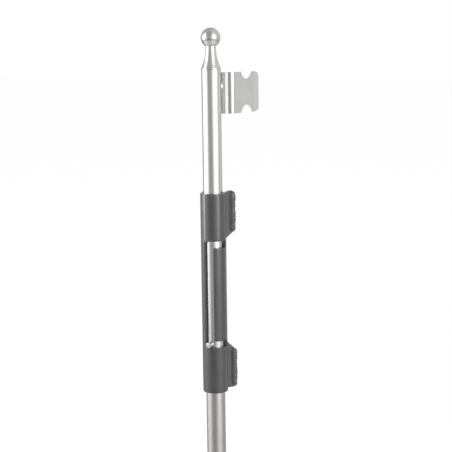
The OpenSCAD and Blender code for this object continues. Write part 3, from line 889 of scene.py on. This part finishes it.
ballCentre = seatHeight + math.sqrt(knob["ball"] ** 2 - topRadius ** 2)
seatAngle = -math.degrees(math.asin((ballCentre - seatHeight) / knob["ball"]))
boreTop = seatHeight + knob["boreInBall"]
profile = [(0, boreTop), (bore, boreTop), (bore, seatHeight), (topRadius - 0.12, seatHeight)]
profile += [(topRadius + 0.03, seatHeight + 0.07)]
profile += arcPoints(0, ballCentre, knob["ball"], seatAngle + 2, 90, knob["ballSteps"])
ballMesh = turned(profile, knob["ballColumns"])
weightNormals(addPiece("knobBall", ballMesh, "knob", ["knob_ball"], ballZinc, 40))

stud = {"radius": 3.0, "low": 438.0, "high": 487.5, "chamfer": 0.5, "columns": 48}
tip = stud["radius"] - stud["chamfer"]
profile = [(0, stud["low"]), (tip, stud["low"]), (stud["radius"], stud["low"] + stud["chamfer"])]
profile += [(stud["radius"], stud["high"] - stud["chamfer"]), (tip, stud["high"]), (0, stud["high"])]
addPiece("knobStud", turned(profile, stud["columns"]), "knob", ["knob_stud"], studSteel, 40)
print("rod, pin and knob")


# stage

# The floor glows to white for the camera, takes shadows, and isn't mirrored in the metal
floorLook = {"colour": (0.86, 0.86, 0.86), "roughness": 0.9, "size": 30, "below": 0.0006, "glow": 1.04,
    "glowShare": 0.92}
floorMesh = bmesh.new()
bmesh.ops.create_grid(floorMesh, x_segments=1, y_segments=1, size=floorLook["size"] / 2)
bmesh.ops.translate(floorMesh, vec=(0, 0, -floorLook["below"]), verts=floorMesh.verts)
floorData = bpy.data.meshes.new("floor")
floorMesh.to_mesh(floorData)
floorMesh.free()
floor = bpy.data.objects.new("floor", floorData)
bpy.context.scene.collection.objects.link(floor)
floorMaterial, tree, shader, _ = startMaterial("paleFloor")
shader.inputs["Base Color"].default_value = (*floorLook["colour"], 1)
shader.inputs["Roughness"].default_value = floorLook["roughness"]
shader.inputs["Specular IOR Level"].default_value = 0
rays = tree.nodes.new("ShaderNodeLightPath")
glow = tree.nodes.new("ShaderNodeEmission")
glow.inputs["Strength"].default_value = floorLook["glow"]
lit = tree.nodes.new("ShaderNodeMixShader")
tree.links.new(times(tree, rays.outputs["Is Camera Ray"], floorLook["glowShare"]), lit.inputs["Fac"])
tree.links.new(shader.outputs["BSDF"], lit.inputs[1])
tree.links.new(glow.outputs["Emission"], lit.inputs[2])
clear = tree.nodes.new("ShaderNodeBsdfTransparent")
mix = tree.nodes.new("ShaderNodeMixShader")
tree.links.new(rays.outputs["Is Glossy Ray"], mix.inputs["Fac"])
tree.links.new(lit.outputs["Shader"], mix.inputs[1])
tree.links.new(clear.outputs["BSDF"], mix.inputs[2])
tree.links.new(mix.outputs["Shader"], tree.nodes["Material Output"].inputs["Surface"])
floorData.materials.append(floorMaterial)

# Studio that only reflections see: a grey room with an oval panel and its hot core left and right of the
# view. Room and cores are (degrees from the view, level), panels (turned by, half width, raised, half
# height, level), and the heights are upward directions between which a level fades.
studio = {"view": 26.9, "backdrop": 1.0, "fill": 0.5,
    "room": [(-180, 0.55), (-150, 0.52), (-125, 0.60), (-100, 0.6), (-60, 0.50), (-20, 0.47), (0, 0.50),
        (50, 0.7), (80, 0.93), (98, 0.6), (112, 0.93), (130, 0.62), (150, 0.8), (168, 0.5), (180, 0.5)],
    "roomHeight": (-0.50, -0.05, 0.5, 1),
    "leftPanel": (-82, 35, -10, 54, 1.05), "rightPanel": (39, 30, -8, 57, 0.8),
    "panelHeight": (-0.30, -0.12, 0.35, 1), "panelEdge": (1.25, 0.75),
    "cores": [(-180, 0), (-104, 0), (-98, 4), (-80, 4), (-72, 0), (32, 0), (38, 3), (52, 3), (60, 0),
        (180, 0)],
    "coreHeight": (-0.21, -0.135, 0, 1), "coreTop": (0.45, 0.30, 0, 1),
    "lowHeight": (-0.45, -0.6, 0, 0.45)}
world = bpy.data.worlds.new("studio")
bpy.context.scene.world = world
world.use_nodes = True
tree = world.node_tree
tree.nodes.clear()
direction = tree.nodes.new("ShaderNodeTexCoord").outputs["Generated"]
parts = tree.nodes.new("ShaderNodeSeparateXYZ")
tree.links.new(direction, parts.inputs["Vector"])
upward = parts.outputs["Z"]
heading = maths(tree, "ARCTAN2", parts.outputs["X"], times(tree, parts.outputs["Y"], -1))
fromView = maths(tree, "SUBTRACT", times(tree, heading, 180 / math.pi), studio["view"])
around = maths(tree, "WRAP", fromView, 180)
around.node.inputs[2].default_value = -180
rise = times(tree, maths(tree, "ARCSINE", upward, 0), 180 / math.pi)


def bandRamp(stops):
    top = max(value for _, value in stops)
    ramp = tree.nodes.new("ShaderNodeValToRGB")
    ramp.color_ramp.interpolation = "EASE"
    while len(ramp.color_ramp.elements) < len(stops):
        ramp.color_ramp.elements.new(0.5)
    for element, (degrees, value) in zip(ramp.color_ramp.elements, stops):
        element.position = (degrees + 180) / 360
        element.color = (value / top, value / top, value / top, 1)
    tree.links.new(ranged(tree, around, -180, 180, 0, 1), ramp.inputs["Fac"])
    return times(tree, ramp.outputs["Color"], top)


def squaredShare(value, middle, half):
    share = maths(tree, "DIVIDE", maths(tree, "SUBTRACT", value, middle), half)
    return maths(tree, "POWER", maths(tree, "ABSOLUTE", share, 0), 2)


def ovalPanel(turnedBy, halfWidth, raised, halfHeight, strength):
    out = plus(tree, squaredShare(around, turnedBy, halfWidth), squaredShare(rise, raised, halfHeight))
    return ranged(tree, out, *studio["panelEdge"], 0, strength)


roomLevel = times(tree, bandRamp(studio["room"]), ranged(tree, upward, *studio["roomHeight"]))
panels = plus(tree, ovalPanel(*studio["leftPanel"]), ovalPanel(*studio["rightPanel"]))
panelLevel = times(tree, panels, ranged(tree, upward, *studio["panelHeight"]))
coreSpan = times(tree, ranged(tree, upward, *studio["coreHeight"]), ranged(tree, upward, *studio["coreTop"]))
coreLevel = times(tree, bandRamp(studio["cores"]), coreSpan)
lowLevel = ranged(tree, upward, *studio["lowHeight"])
glossy = plus(tree, plus(tree, roomLevel, panelLevel), plus(tree, coreLevel, lowLevel))
rays = tree.nodes.new("ShaderNodeLightPath")
diffuseOrCamera = tree.nodes.new("ShaderNodeMix")
diffuseOrCamera.inputs[2].default_value = studio["fill"]
diffuseOrCamera.inputs[3].default_value = studio["backdrop"]
tree.links.new(rays.outputs["Is Camera Ray"], diffuseOrCamera.inputs[0])
level = tree.nodes.new("ShaderNodeMix")
tree.links.new(rays.outputs["Is Glossy Ray"], level.inputs[0])
tree.links.new(diffuseOrCamera.outputs[0], level.inputs[2])
tree.links.new(glossy, level.inputs[3])
background = tree.nodes.new("ShaderNodeBackground")
background.inputs["Color"].default_value = (1, 1, 1, 1)
tree.links.new(level.outputs[0], background.inputs["Strength"])
tree.links.new(background.outputs["Background"], tree.nodes.new("ShaderNodeOutputWorld").inputs["Surface"])

# Softboxes as (place, size, power), aimed at one place near the clip and not mirrored in the metal
lamps = {"leftSoftbox": ((-1.3, -0.9, 1.3), 1.2, 17), "rightSoftbox": ((1.7, -0.6, 1.2), 1.2, 13),
    "topSoftbox": ((0.2, -0.3, 2.3), 1.6, 10)}
lampTarget = Vector((0, 0, 0.42))
for name, (place, size, power) in lamps.items():
    data = bpy.data.lights.new(name, "AREA")
    data.size = size
    data.energy = power
    lamp = bpy.data.objects.new(name, data)
    lamp.location = place
    lamp.rotation_euler = (lampTarget - Vector(place)).to_track_quat("-Z", "Y").to_euler()
    lamp.visible_glossy = False
    bpy.context.scene.collection.objects.link(lamp)
print("stage and lights")

# Camera, where the photograph was taken from
view = {"place": (0.5113, -1.0094, 0.4802), "turn": 26.20, "down": 9.18, "roll": -0.75, "lens": 88.09}
turn, down, roll = (math.radians(view[k]) for k in ("turn", "down", "roll"))
back = Vector((math.sin(turn) * math.cos(down), -math.cos(turn) * math.cos(down), math.sin(down)))
levelRight = Vector((math.cos(turn), math.sin(turn), 0))
levelUp = back.cross(levelRight)
right = levelRight * math.cos(roll) + levelUp * math.sin(roll)
up = back.cross(right)
cameraData = bpy.data.cameras.new("camera")
cameraData.lens = view["lens"]
cameraData.sensor_width = 36
cameraData.sensor_fit = "HORIZONTAL"
camera = bpy.data.objects.new("camera", cameraData)
camera.matrix_world = Matrix.Translation(view["place"]) @ Matrix((right, up, back)).transposed().to_4x4()
bpy.context.scene.collection.objects.link(camera)
bpy.context.scene.camera = camera
bpy.context.scene.view_settings.view_transform = "Standard"
